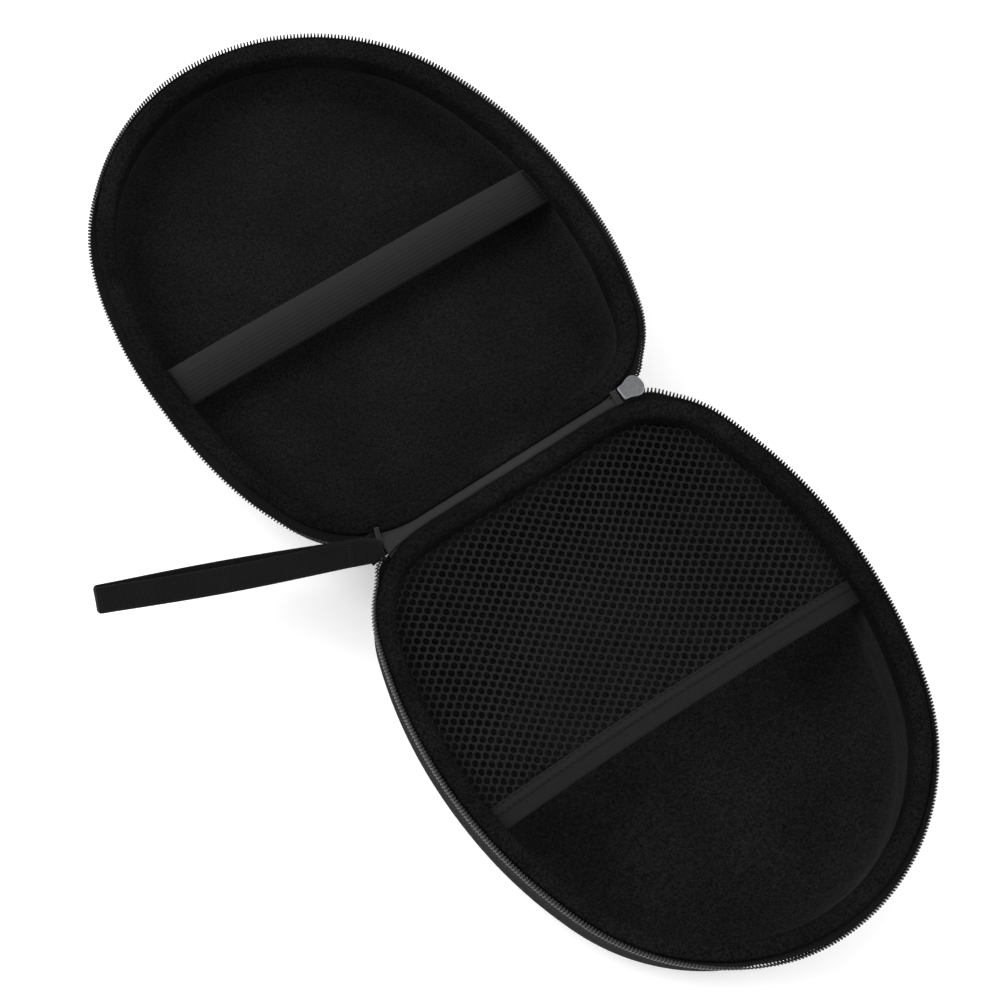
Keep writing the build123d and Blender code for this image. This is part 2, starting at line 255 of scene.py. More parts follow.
def fan_caps(points, rows, count):
    """Triangles from a grid's first and last ring to the two poles at the end of points."""
    faces, uv = [], []
    for row, pole in ((0, len(points) - 2), (rows - 1, len(points) - 1)):
        for k in range(count):
            corners = [row * count + k, row * count + (k + 1) % count, pole]
            faces.append(corners)
            uv += points[corners][:, :2].tolist()
    return faces, uv


def tube(path, side, up, radius, count):
    """Rings of count points round a path, whose two cross directions are side and up."""
    angle = 2 * math.pi * np.arange(count) / count
    return (path[:, None, :] + radius * np.cos(angle)[None, :, None] * side
            + radius * np.sin(angle)[None, :, None] * up)


def round_mouth(half, s, out, w):
    """Grid of points: sections of (out, w) set along the outline at s."""
    u, v, nu, nv = (values[:, None] for values in outline(s))
    return half.place(u + nu * out, v + nv * out, w)


# ---- materials

class Nodes:
    """Short calls for building a material's nodes."""

    def __init__(self, name):
        self.material = bpy.data.materials.new(name)
        self.material.use_nodes = True
        self.tree = self.material.node_tree
        self.shader = self.tree.nodes["Principled BSDF"]
        self.coordinates = self.tree.nodes.new("ShaderNodeTexCoord")

    def link(self, value, socket):
        if isinstance(value, bpy.types.NodeSocket):
            self.tree.links.new(value, socket)
        else:
            socket.default_value = value

    def node(self, kind, inputs=(), output=0, **settings):
        made = self.tree.nodes.new("ShaderNode" + kind)
        for key, value in settings.items():
            setattr(made, key, value)
        for key, value in dict(inputs).items():
            self.link(value, made.inputs[key])
        return made.outputs[output]

    def uv(self, turn=0.0):
        """Cloth coordinates in millimetres."""
        return self.node("Mapping", {
            "Vector": self.coordinates.outputs["UV"], "Rotation": (0, 0, turn)})

    def space(self):
        """Object coordinates in millimetres."""
        return self.node("Mapping", {
            "Vector": self.coordinates.outputs["Object"], "Scale": (1 / MM,) * 3})

    def noise(self, scale, detail=3.0, roughness=0.6):
        return self.node("TexNoise", {
            "Vector": self.space(), "Scale": scale, "Detail": detail, "Roughness": roughness})

    def wave(self, pitch, direction, distortion=0.0, detail_scale=1.0, turn=0.0):
        """Sine lines on the cloth, one per pitch."""
        return self.node("TexWave", {
            "Vector": self.uv(turn), "Scale": math.pi / (5 * pitch), "Distortion": distortion,
            "Detail": 1.0, "Detail Scale": detail_scale}, output=1,
            wave_type="BANDS", bands_direction=direction, wave_profile="SIN")

    def plus(self, a, b):
        return self.node("Math", {0: a, 1: b}, operation="ADD")

    def times(self, a, b):
        return self.node("Math", {0: a, 1: b}, operation="MULTIPLY")

    def remap(self, value, to_low, to_high, low=0.3, high=0.7):
        return self.node("MapRange", {
            "Value": value, "From Min": low, "From Max": high,
            "To Min": to_low, "To Max": to_high})

    def colour(self, grey, tint):
        """Colour from a grey level and a tint."""
        level = self.node("CombineColor", {0: grey, 1: grey, 2: grey})
        return self.node("Mix", {"Factor": 1.0, "A": level, "B": (*tint, 1)},
                         output="Result", data_type="RGBA", blend_type="MULTIPLY")

    def bump(self, height, depth_mm, under=None):
        inputs = {"Height": height, "Distance": depth_mm * MM, "Strength": 1.0}
        if under is not None:
            inputs["Normal"] = under
        return self.node("Bump", inputs)

    def finish(self, colour, normal, roughness, specular=0.2, sheen=0.0, metallic=0.0, coat=0.0):
        for name, value in {
            "Base Color": colour, "Normal": normal, "Roughness": roughness,
            "Specular IOR Level": specular, "Sheen Weight": sheen, "Sheen Roughness": 0.45,
            "Metallic": metallic, "Coat Weight": coat,
        }.items():
            self.link(value, self.shader.inputs[name])
        return self.material

    def cloth(self, level, spread, fine, *surface):
        """Grey that varies slowly over the piece and finely with the threads."""
        slow = self.remap(self.noise(0.03, 2.0), 1 - spread, 1 + spread)
        grey = self.times(self.times(slow, level), fine)
        return self.finish(self.colour(grey, (1.0, 1.0, 1.06)), *surface)


def speckle(n, low=0.4, high=1.65):
    """Colour factor of short fibres about a millimetre across."""
    return n.remap(n.noise(1.1, 2.0, 0.75), low, high, 0.36, 0.64)


def woven_cover(n):
    warp = n.wave(0.55, "X", 0.4)
    weft = n.wave(0.55, "Y", 0.4)
    weave = n.times(warp, weft)
    grain = n.noise(2.2)
    fine = n.remap(n.plus(weave, grain), 0.65, 1.35, 0.3, 1.4)
    normal = n.bump(weave, 0.10, n.bump(grain, 0.05))
    return n.cloth(0.0040, 0.25, fine, normal, 0.85, 0.06, 0.02)


def velvet_lining(n):
    nap = n.noise(1.9, 4.0, 0.7)
    pile = n.noise(0.35, 2.0)
    fine = n.times(speckle(n), n.remap(n.plus(nap, n.times(pile, 0.4)), 0.6, 1.4, 0.45, 1.0))
    normal = n.bump(nap, 0.22, n.bump(pile, 0.35))
    return n.cloth(0.0072, 0.22, fine, normal, 0.9, 0.05, 0.04)


def knit_lining(n):
    rib = n.wave(1.45, "X", 1.6, 0.6, math.radians(34))
    nap = n.noise(1.7, 4.0, 0.7)
    mixed = n.remap(n.plus(nap, n.times(rib, 0.5)), 0.55, 1.45, 0.45, 1.2)
    fine = n.times(speckle(n, 0.4, 1.75), mixed)
    normal = n.bump(rib, 0.14, n.bump(nap, 0.2))
    return n.cloth(0.0047, 0.25, fine, normal, 0.9, 0.05, 0.04)


def binding_knit(n):
    rib = n.wave(1.2, "X", 0.9)
    nap = n.noise(2.1, 4.0, 0.7)
    fine = n.times(speckle(n, 0.35, 1.8), n.remap(n.plus(nap, n.times(rib, 0.3)), 0.6, 1.4, 0.4, 1.0))
    normal = n.bump(rib, 0.08, n.bump(nap, 0.18))
    return n.cloth(0.0048, 0.35, fine, normal, 0.95, 0.04, 0.0)


def tape_twill(n):
    lines = n.wave(0.55, "Y", 0.3)
    cross = n.wave(0.7, "X", 0.3)
    weave = n.plus(lines, n.times(cross, 0.5))
    fine = n.remap(weave, 0.7, 1.3, 0.2, 1.4)
    normal = n.bump(weave, 0.08, n.bump(n.noise(2.5), 0.03))
    return n.cloth(0.0045, 0.2, fine, normal, 0.85, 0.06, 0.03)


def coil_nylon(n):
    cloud = n.noise(0.8)
    fine = n.remap(cloud, 0.8, 1.25)
    normal = n.bump(n.noise(3.0), 0.012)
    rough = n.remap(cloud, 0.2, 0.32)
    return n.cloth(0.005, 0.1, fine, normal, rough, 0.42)


def hinge_cloth(n):
    warp = n.wave(0.45, "X", 0.3)
    weft = n.wave(0.45, "Y", 0.3)
    weave = n.times(warp, weft)
    fine = n.remap(n.plus(weave, n.noise(1.5)), 0.75, 1.25, 0.3, 1.4)
    normal = n.bump(weave, 0.06, n.bump(n.noise(0.25), 0.5))
    return n.cloth(0.012, 0.25, fine, normal, 0.6, 0.22, 0.08)


def net_nylon(n):
    grain = n.noise(2.4, 4.0, 0.7)
    fine = n.remap(grain, 0.6, 1.4)
    normal = n.bump(grain, 0.08)
    return n.cloth(0.0065, 0.25, fine, normal, 0.75, 0.11, 0.04)


def elastic_weave(n, level, painted_sheen_level):
    """Ribbed elastic with painted sheen: its grey climbs across the band from one edge to the other."""
    cross = n.wave(0.8, "X", 0.3)
    lines = n.wave(0.42, "Y", 0.2)
    weave = n.times(cross, lines)
    # painted sheen and shade: the grey rises from level at the grooved hinge edge to a lighter grey at the smooth
    # far edge, standing in for light on the smooth part and shade over the grooves
    edge = n.node("SeparateXYZ", {0: n.uv()}, output="Y")
    fade = n.remap(edge, level, painted_sheen_level, -10.0, 10.0)
    fine = n.times(n.remap(weave, 0.82, 1.18, 0.0, 1.0),
                  n.remap(n.noise(1.8), 0.85, 1.15))
    colour = n.colour(n.times(fade, fine), (1.0, 1.01, 1.04))
    normal = n.bump(weave, 0.05)
    return n.finish(colour, normal, 0.7, 0.14, 0.05)


def webbing_weave(n):
    lines = n.wave(0.9, "Y", 0.3)
    ribs = n.wave(1.15, "X", 0.3)
    weave = n.plus(ribs, n.times(lines, 0.35))
    fine = n.remap(n.plus(weave, n.noise(1.8)), 0.4, 1.7, 0.5, 1.8)
    normal = n.bump(weave, 0.16, n.bump(n.noise(3.0), 0.04))
    return n.cloth(0.0034, 0.25, fine, normal, 0.75, 0.10, 0.03)


def thread(n):
    twist = n.wave(0.35, "X", turn=0.6)
    fine = n.remap(n.plus(twist, n.noise(3.0)), 0.7, 1.3, 0.4, 1.5)
    return n.cloth(0.006, 0.1, fine, n.bump(twist, 0.05), 0.7, 0.15)


def foam(n):
    cells = n.noise(1.4, 5.0, 0.7)
    fine = n.remap(cells, 0.6, 1.4)
    return n.cloth(0.018, 0.1, fine, n.bump(cells, 0.2), 0.95, 0.1)


def slider_metal(n):
    cloud = n.noise(0.6, 4.0)
    grain = n.noise(4.0, 3.0)
    bright = n.remap(n.plus(cloud, n.times(grain, 0.5)), 0.8, 1.2, 0.5, 1.0)
    # painted highlight: the grey is raised a little on the plates' sharp bevel edges
    highlight_pointiness = n.node("NewGeometry", output="Pointiness")
    edge = n.remap(highlight_pointiness, 1.0, 1.7, 0.5, 0.56)
    colour = n.colour(n.times(n.times(bright, edge), 0.125), (0.97, 1.0, 1.05))
    rough = n.remap(grain, 0.34, 0.5)
    return n.finish(colour, n.bump(grain, 0.01), rough, 0.5, metallic=0.7, coat=0.1)


def floor_paper(n):
    grain = n.noise(0.4, 3.0)
    colour = n.colour(n.remap(grain, 0.93, 0.95), (1.0, 1.0, 1.0))
    n.link(colour, n.shader.inputs["Emission Color"])
    n.link(0.28, n.shader.inputs["Emission Strength"])
    return n.finish(colour, n.bump(grain, 0.02), 0.95, 0.1)


MATERIALS = {slot: recipe(Nodes(slot)) for slot, recipe in (
    ("cover_fabric", woven_cover), ("foam", foam), ("velvet_lining", velvet_lining),
    ("knit_lining", knit_lining), ("binding", binding_knit), ("zipper_tape", tape_twill),
    ("coil_nylon", coil_nylon), ("hinge_cloth", hinge_cloth), ("mesh", net_nylon),
    ("thread", thread), ("slider_metal", slider_metal), ("webbing", webbing_weave),
)}
# the strap's elastic is painted from 0.0020 at its grooved edge to 0.0165 at its smooth far edge: painted sheen
# and shade
MATERIALS["elastic"] = elastic_weave(Nodes("elastic"), 0.0020, 0.0165)
MATERIALS["hem_elastic"] = elastic_weave(Nodes("hem_elastic"), 0.0075, 0.0075)
FLOOR = floor_paper(Nodes("floor"))


def settle(obj, body, slot, *nodes):
    """A finished piece rides on its body and stands for its CAD nodes."""
    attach(obj, body)
    if nodes:
        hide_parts(*nodes)


# ---- shells

def tub_profile(inset, depth, floor_r, top):
    """Rings of one tub surface from the rim to the middle, as (inset, w, share of the way in)."""
    tilt = math.atan(DRAFT)
    centre_w = depth - floor_r
    centre_in = inset + (depth - floor_r + floor_r * math.sin(tilt) - TAPE_W) * DRAFT
    centre_in += floor_r * math.cos(tilt)
    wall_end = centre_w - floor_r * math.sin(tilt)
    rings = [(inset + (w - TAPE_W) * DRAFT, w, 0.0) for w in np.linspace(top, wall_end, 9)[:-1]]
    for angle in np.linspace(-tilt, math.pi / 2, 13):
        rings.append((centre_in - floor_r * math.cos(angle),
                      centre_w + floor_r * math.sin(angle), 0.0))
    for share in (0.1, 0.22, 0.36, 0.52, 0.68, 0.82, 0.93):
        rings.append((centre_in, depth, share))
    return rings


def shell_sheet(name, half, inset, thickness, depth, floor_r, top, material, uneven):
    """Closed cloth layer moulded over a tub: an outer surface, a rim and an inner surface."""
    count = 360
    s = np.arange(count) * PERIMETER / count
    u, v, nu, nv = outline(s)
    middle_v = float(v.max() + v.min()) / 2
    outer = tub_profile(inset, depth - inset, floor_r - inset, top)
    inner_in = inset + thickness
    inner = tub_profile(inner_in, depth - inner_in, floor_r - inner_in, top)
    rings = outer[::-1] + [(inset + thickness / 2, top - 0.25, 0.0)] + inner
    rise = waves(s, PERIMETER, (3, 5, 8), uneven)
    dent = waves(s, PERIMETER, (4, 7, 11), uneven)
    grid = []
    for index, (ring_in, w, share) in enumerate(rings):
        inside = index > len(outer)
        fade = np.clip((w - top) / 12, 0, 1) * (1 - share) * (1.0 if inside else -1.0)
        ring_in = ring_in + fade * dent * 0.5
        ru = (u - nu * ring_in) * (1 - share)
        rv = (v - nv * ring_in) * (1 - share) + middle_v * share
        grid.append(np.stack([ru, rv, w - abs(fade) * rise * 0.3 * (w > depth * 0.7) + 0 * ru], 1))
    grid = np.array(grid)
    poles = [[0.0, middle_v, outer[-1][1]], [0.0, middle_v, inner[-1][1]]]
    rows = len(rings)
    faces, cells = grid_faces(rows, count, False, True)
    drop = running_length(grid[:, 0])
    flat = grid.reshape(-1, 3)
    floor = np.array([ring[1] > depth * 0.8 or ring[2] > 0 for ring in rings])
    on_floor = floor[cells[:, 0, 0]] & floor[cells[:, 2, 0]]
    unrolled = np.stack([cells[..., 1] * PERIMETER / count, drop[cells[..., 0]]], -1)
    uv = np.where(on_floor[:, None, None], flat[faces][..., :2], unrolled)
    points = np.vstack([flat, poles])
    caps, cap_uv = fan_caps(points, rows, count)
    return make_mesh(name, half.place(*points.T), faces.tolist() + caps,
                     uv.reshape(-1, 2).tolist() + cap_uv, material)


def shells():
    for half, depth, floor_r, slot in ((BASE, BASE_DEPTH, BASE_FLOOR_R, "velvet_lining"),
                                       (LID, LID_DEPTH, LID_FLOOR_R, "knit_lining")):
        body = half.body
        cover = shell_sheet(f"{body}_cover_cloth", half, 0.0, COVER, depth, floor_r,
                            COVER_TOP, "cover_fabric", 0.12)
        settle(cover, body, "cover_fabric", f"{body}_cover")
        lining = shell_sheet(f"{body}_lining_cloth", half, LINING_IN - COVER, COVER, depth,
                             floor_r, LINING_TOP, slot, 0.35)
        settle(lining, body, slot, f"{body}_lining")


# ---- rim trim and zipper

TRIM_SECTION = (
    (0.0, 2.3), (-0.05, 1.6), (-0.4, 0.9), (-1.3, 0.45), (-3.0, 0.3), (-5.0, 0.5), (-6.2, 1.2),
    (-6.9, 2.4), (-7.0, 4.0), (-6.95, 7.0), (-6.9, 10.0), (-6.0, 10.3), (-5.5, 9.5),
    (-5.4, 5.0), (-5.2, 2.9), (-4.6, 2.35), (-0.3, 2.35),
)


def rim_trim(half, seam_u):
    """Padded binding round the mouth, with one butt seam near the middle of the back."""
    section = smooth_closed(TRIM_SECTION, 3)
    seam = -half.side * seam_u % PERIMETER
    s = np.arange(0, PERIMETER - 0.3, 1.0)
    s = np.sort(np.concatenate([s, (seam + np.linspace(-1.6, 1.6, 15)) % PERIMETER]))
    away = np.abs((s - seam + PERIMETER / 2) % PERIMETER - PERIMETER / 2)
    pinch = np.exp(-(away / 0.45) ** 2)[:, None]
    swell = 0.12 * np.exp(-((away - 1.3) / 0.6) ** 2)[:, None]
    plump = waves(s, PERIMETER, (9, 16, 23, 37), 0.10)[:, None]
    sway = waves(s, PERIMETER, (6, 13, 21), 0.10)[:, None]
    out, w = section[None, :, 0], section[None, :, 1]
    top = np.clip((2.3 - w) / 1.8, 0, 1)
    inner = np.clip((-6.0 - out) / 0.8, 0, 1)
    lower = w + top * (0.5 * pinch - swell - plump)
    shift = out + inner * (0.6 * pinch + sway)
    points = round_mouth(half, s, shift, lower)
    piece = swept(f"{half.body}_trim_cloth", points, np.append(s, PERIMETER),
                  section_lengths(section), "binding", True)
    settle(piece, half.body, "binding", f"{half.body}_rim_trim")


# How the zipper lies round each mouth. In each row: distance round the outline, the coil's root
# as (out, w), its lean in degrees (0 lies flat, minus stands up), and its heads' reach past the
# tape. It stands up behind the base's trim, opens out at the far end, and turns in over the rim
# on the base's other side. On the lid it lies flat on one side and stands up on the other.
ZIP_LIE = {
    "base": ((55, 0.9, 2.4, -60, 1.4), (72, 0.4, 2.9, -70, 1.0), (90, 0.1, 3.1, -82, 0.5),
             (190, 0.1, 3.1, -80, 0.5), (250, 0.4, 2.9, -62, 0.8), (300, 1.2, 2.7, -35, 1.2),
             (325, 1.5, 2.6, -35, 1.2), (345, 1.6, 2.7, -70, 1.1), (365, 1.2, 2.8, -95, 1.0),
             (400, 0.9, 2.8, -110, 1.0), (450, 0.9, 2.8, -106, 1.0), (520, 0.7, 2.8, -104, 1.0),
             (548, 0.4, 2.8, -106, 1.0), (570, 0.5, 2.8, -95, 1.1)),
    "lid": ((55, 0.6, 2.8, 5, 0.6), (80, 1.0, 2.8, 5, 0.5), (104, 1.7, 2.8, 6, 0.4),
            (150, 0.2, 2.8, 8, 0.4), (205, 1.1, 2.8, 4, 0.5), (225, 0.4, 2.9, -20, 0.6),
            (245, 0.0, 3.2, -82, 0.3), (278, 0.0, 3.2, -84, 0.3), (296, 0.2, 3.0, -62, 1.2),
            (360, 0.2, 2.9, -55, 1.2), (430, 0.8, 2.8, -40, 1.4), (510, 1.0, 2.8, -40, 1.4),
            (540, 0.5, 2.9, -42, 0.9), (572, 0.5, 2.4, -58, 0.8)),
}
TAPE = 0.4
COIL_PITCH = 1.28
COIL_HALF_LONG = 1.25
COIL_HALF_HIGH = 0.36
WIRE_R = 0.34
# Distances along the hinge at which the tapes and the coils end, at the slider and at the tab.
TAPE_ENDS = (46.0, 49.0)
COIL_ENDS = {"base": (53.0, 57.8), "lid": (53.0, 66.0)}


def zip_range(half, ends):
    """Start and end round the outline of a half's tape or coil."""
    slider_end, other_end = map(s_at, ends)
    if half.side < 0:
        return slider_end, PERIMETER - other_end
    return other_end, PERIMETER - slider_end


def zip_lie(half, s):
    """Root out, root w, lean in radians and head reach at s, eased between the rows of ZIP_LIE."""
    rows = np.array(ZIP_LIE[half.body], float)
    near = np.asarray(s)[:, None] + np.linspace(-9, 9, 13)
    out, w, lean, reach = (np.interp(near, rows[:, 0], rows[:, k]).mean(1) for k in (1, 2, 3, 4))
    return out, w, np.radians(lean), reach


def end_spread(half, s):
    """How far the tape leaves the wall to meet the other tape at the slider and at the tab."""
    u, v, _, _ = outline(s)
    start, end = zip_range(half, COIL_ENDS["base"])
    from_slider = s - start if half.side < 0 else end - s
    from_tab = end - s if half.side < 0 else s - start
    to_fold = np.maximum(v - 3.2, 0)
    near_slider = np.exp(-((np.maximum(from_slider - 4.0, 0) / 6.5) ** 2))
    near_tab = np.exp(-((np.maximum(from_tab - 1.0, 0) / 6.0) ** 2))
    return np.minimum(to_fold, 6.0) * (0.45 * near_slider + 0.5 * near_tab)


def zipper_tape(half):
    """Tape from inside the shell's rim, out past the trim and along the coil's back."""
    s = np.linspace(*zip_range(half, TAPE_ENDS), 640)
    root_out, root_w, lean, reach = zip_lie(half, s)
    spread = end_spread(half, s)
    wobble = waves(s, PERIMETER, (11, 19, 31), 0.06)
    along = 2 * COIL_HALF_LONG - reach
    edge = np.stack([root_out + along * np.cos(lean) + spread + wobble,
                     root_w + along * np.sin(lean)], 1)
    root = np.stack([root_out + spread + wobble, root_w], 1)
    tucked = np.array([-3.4, 2.8]) + 0 * root
    leaving = np.array([-0.5, 2.8]) + 0 * root
    turning = np.array([0.3, 2.8]) + 0 * root
    line = [tucked, 0.5 * (tucked + leaving)]
    for t in np.linspace(0, 1, 10):
        line.append((1 - t) ** 3 * leaving + 3 * t * (1 - t) ** 2 * turning
                    + 3 * t**2 * (1 - t) * root + t**3 * edge)
    line = np.stack(line, 1)
    step = unit(np.gradient(line, axis=1))
    normal = np.stack([-step[..., 1], step[..., 0]], 2)
    tip = line[:, -1:] + 0.2 * step[:, -1:]
    section = np.concatenate([line + TAPE / 2 * normal, tip, (line - TAPE / 2 * normal)[:, ::-1]], 1)
    points = round_mouth(half, s, section[..., 0], section[..., 1])
    piece = swept(f"{half.body}_tape_cloth", points, s, section_lengths(section[0]),
                  "zipper_tape", False)
    settle(piece, half.body, "zipper_tape", f"{half.body}_zipper_tape")


def zipper_coil(half):
    """Flattened helix of nylon wire along the tape's edge, on the side that faces out when shut."""
    start, end = zip_range(half, COIL_ENDS[half.body])
    turns = int((end - start) / COIL_PITCH)
    per_turn = 14
    ring = 6
    t = np.arange(turns * per_turn + 1) / per_turn
    phase = 2 * math.pi * t
    # both legs of a loop lie over each other, and the wire moves on at the root
    s = start + COIL_PITCH * (t - 0.85 * np.sin(phase) / (2 * math.pi))
    root_out, root_w, lean, _ = zip_lie(half, start + t * COIL_PITCH)
    bow = np.sign(np.cos(phase)) * np.abs(np.cos(phase)) ** 0.75
    along = COIL_HALF_LONG * (1 + bow)
    height = TAPE / 2 + WIRE_R + COIL_HALF_HIGH * (1 + np.sin(phase))
    out = root_out + along * np.cos(lean) - height * np.sin(lean) + end_spread(half, s)
    w = root_w + along * np.sin(lean) + height * np.cos(lean)
    u, v, nu, nv = outline(s)
    path = half.place(u + nu * out, v + nv * out, w)
    step = unit(np.gradient(path, axis=0))
    run = half.place(u + nv, v - nu, w) - half.place(u, v, w)
    side = unit(np.cross(step, run))
    up = np.cross(step, side)
    points = tube(path, side[:, None, :], up[:, None, :], WIRE_R, ring)
    around = WIRE_R * np.linspace(0, 2 * math.pi, ring + 1)
    piece = swept(f"{half.body}_coil_wire", points, t, around, "coil_nylon", False)
    settle(piece, half.body, "coil_nylon", f"{half.body}_zipper_coil")


def rims():
    for half, seam_u in ((BASE, -8.2), (LID, -3.7)):
        rim_trim(half, seam_u)
        zipper_tape(half)
        zipper_coil(half)


# ---- bands across the mouth

INSIDE = TRIM_WIDTH - 0.35  # bands end just inside the trim's cloth


def bowed(t, bow):
    """Shift of a stretched edge at t along it: bow in the middle, nothing at its ends."""
    return bow * (1 - (t / 80.0) ** 2)


def band_reach(v_mid, skew, across):
    """Ends of a skewed line across the mouth, across mm from the band's middle line."""
    u, v, nu, nv = outline(np.linspace(0, PERIMETER, 1600, endpoint=False))
    u, v = u - nu * INSIDE, v - nv * INSIDE
    t = u * math.cos(skew) + (v - v_mid) * math.sin(skew)
    a = (v - v_mid) * math.cos(skew) - u * math.sin(skew)
    ends = []
    for side in (t < 0, t > 0):
        order = np.argsort(a[side])
        ends.append(np.interp(across, a[side][order], t[side][order]))
    return ends


def band(name, half, v_mid, skew, w, section, count, material, drop=None, bow=0.0):
    """Band with a closed section of (across, height), cut to the mouth at both ends.

    drop lets it hang, and bow draws its middle towards the hinge.
    """
    low, high = band_reach(v_mid, skew, section[:, 0])
    share = np.linspace(0, 1, count)[:, None]
    t = low[None, :] * (1 - share) + high[None, :] * share
    a = section[None, :, 0] + 0 * t
    depth = w - section[None, :, 1] + (drop(t, a) if drop else 0)
    u = t * math.cos(skew) - a * math.sin(skew)
    v = v_mid + t * math.sin(skew) + a * math.cos(skew) - bowed(t, bow)
    points = half.place(u, v, depth)
    return swept(name, points, share[:, 0] * float((high - low).mean()),
                 np.append(section[:, 0], section[0, 0]), material, False)


def ribbon_section(width, thickness, crown, grooves, groove_depth, groove_half, samples):
    """Closed section of a woven band: a crowned, grooved top and a flat underside."""
    across = np.linspace(-width / 2, width / 2, samples)
    edge = 1 - np.clip((np.abs(across) - (width / 2 - 0.7)) / 0.7, 0, 1) ** 2 * 0.75
    top = thickness * edge + crown * (1 - (2 * across / width) ** 2)
    for place in grooves:
        top = top - groove_depth * np.exp(-(((across - place) / groove_half) ** 2))
    under = np.linspace(width / 2, -width / 2, 12)
    return np.vstack([np.stack([across, top], 1), np.stack([under, 0 * under], 1)])


def elastic_strap():
    """Elastic across the lid: smooth at its far third and grooved towards the hinge."""
    grooves = np.linspace(-7.2, 2.6, 7)
    section = ribbon_section(STRAP_WIDTH, 1.0, 0.45, grooves, 0.34, 0.4, 90)

    def drop(t, a):
        reach = 78.0
        return 0.9 * (t / reach) ** 4 + 0.25 * np.sin(t / 17.0 + a / 14.0) * (1 - (t / reach) ** 2)

    piece = band("elastic_strap_band", LID, STRAP_V, STRAP_SKEW, STRAP_W + 1.2, section, 150,
                 "elastic", drop)
    settle(piece, "lid", "elastic", "elastic_strap")


def capsule(start, end, radius, up, rise):
    """One stitch: a bent tube from start to end, rounded at both ends."""
    rings, ring = 7, 6
    share = np.linspace(0, 1, rings)
    girth = radius * np.sqrt(np.clip(1 - (2 * share - 1) ** 4, 0.06, 1))
    along = unit(end - start)
    side = unit(np.cross(along, up))
    lift = np.cross(side, along)
    centre = start + (end - start) * share[:, None] + lift * (rise * np.sin(math.pi * share))[:, None]
    points = tube(centre, side, lift, girth[:, None, None], ring)
    faces, cells = grid_faces(rings, ring, False, True)
    length = np.linalg.norm(end - start)
    uv = cells * np.array([length / rings, radius])
    face_list = faces.tolist() + [list(range(ring)), list(range((rings - 1) * ring, rings * ring))]
    return points.reshape(-1, 3), face_list, uv.reshape(-1, 2).tolist() + [(0, 0)] * (2 * ring)


def stitches(name, body, segments, radius, up, rise, nodes):
    """Many stitches as one piece."""
    points, faces, uv = joined([capsule(a, b, radius, up, rise) for a, b in segments])
    piece = make_mesh(name, points, faces, uv, "thread")
    settle(piece, body, "thread", *nodes)


def band_point(half, v_mid, skew, t, a, w, bow=0.0):
    """Point on a skewed band: t along it, a across it."""
    return half.place(t * math.cos(skew) - a * math.sin(skew),
                      v_mid + t * math.sin(skew) + a * math.cos(skew) - bowed(t, bow), w)


def zigzag(rows, swing, point):
    """Stitches of a bar tack from row to row; point(shift, row) gives their ends."""
    segments = []
    for index in range(len(rows) - 1):
        shift = swing if index % 2 else -swing
        segments.append((point(-shift, rows[index]), point(shift, rows[index + 1])))
    return segments


def strap_tacks():
    """Bar tack at each end of the strap."""
    segments = []
    for middle in (-STRAP_TACK, STRAP_TACK):

        def point(shift, row):
            return band_point(LID, STRAP_V, STRAP_SKEW, middle + shift, row, STRAP_W + 0.55)

        segments += zigzag(np.linspace(-7.2, 7.2, 21), 0.8, point)
    stitches("strap_tack_thread", "lid", segments, 0.22, np.array([0, 0, 1.0]), 0.15,
             ["strap_stitching"])


# ---- mesh pocket

NET_A = np.array([2.55, 1.90])  # from one hole to the next, along the net's two directions
NET_B = np.array([-2.50, 1.78])
NET_MIDDLE = np.array([0.7, 52.0])
HOLE_R = 1.27
STRAND_HALF = 0.24
HEM_BOW = 1.9


def pocket_drop(u, v):
    """How far the net hangs below its pinned edges."""
    x = u / 78.0
    y = np.clip((v - 9.0) / (HEM_V - 9.0), 0, 1)
    inside = np.clip(1 - x * x, 0, 1) * np.clip(4 * y * (1 - y) + 0.25 * y, 0, 1)
    folds = (0.55 * np.sin(u / 13.0 + v / 19.0 + 0.6) + 0.45 * np.sin(u / 9.5 - v / 12.5 + 2.1)
             + 0.35 * np.sin(v / 8.0 + u / 31.0))
    return inside * (2.2 + folds)


def inset_of(u, v):
    """Distance inside the mouth outline and the nearest outline point's normal."""
    s = np.linspace(0, PERIMETER, 2500, endpoint=False)
    pu, pv, nu, nv = outline(s)
    nearest = np.empty(len(u), int)
    for start in range(0, len(u), 4000):
        stop = start + 4000
        gap = (u[start:stop, None] - pu) ** 2 + (v[start:stop, None] - pv) ** 2
        nearest[start:stop] = gap.argmin(1)
    n = nearest
    return (pu[n] - u) * nu[n] + (pv[n] - v) * nv[n], nu[n], nv[n]


def net_cell():
    """One cell round a hole: 12 outline points between neighbours, and the hole's 12 points."""
    steps = [NET_A, NET_A + NET_B, NET_B, -NET_A, -NET_A - NET_B, -NET_B]
    rim = []
    for k in range(6):
        here, after = steps[k], steps[(k + 1) % 6]
        rim.append(here / 2)
        rim.append((here + after) / 3)
    rim = np.array(rim)
    angles = np.arctan2(rim[:, 1], rim[:, 0])
    hole = HOLE_R * np.stack([np.cos(angles), np.sin(angles)], 1)
    return rim, hole


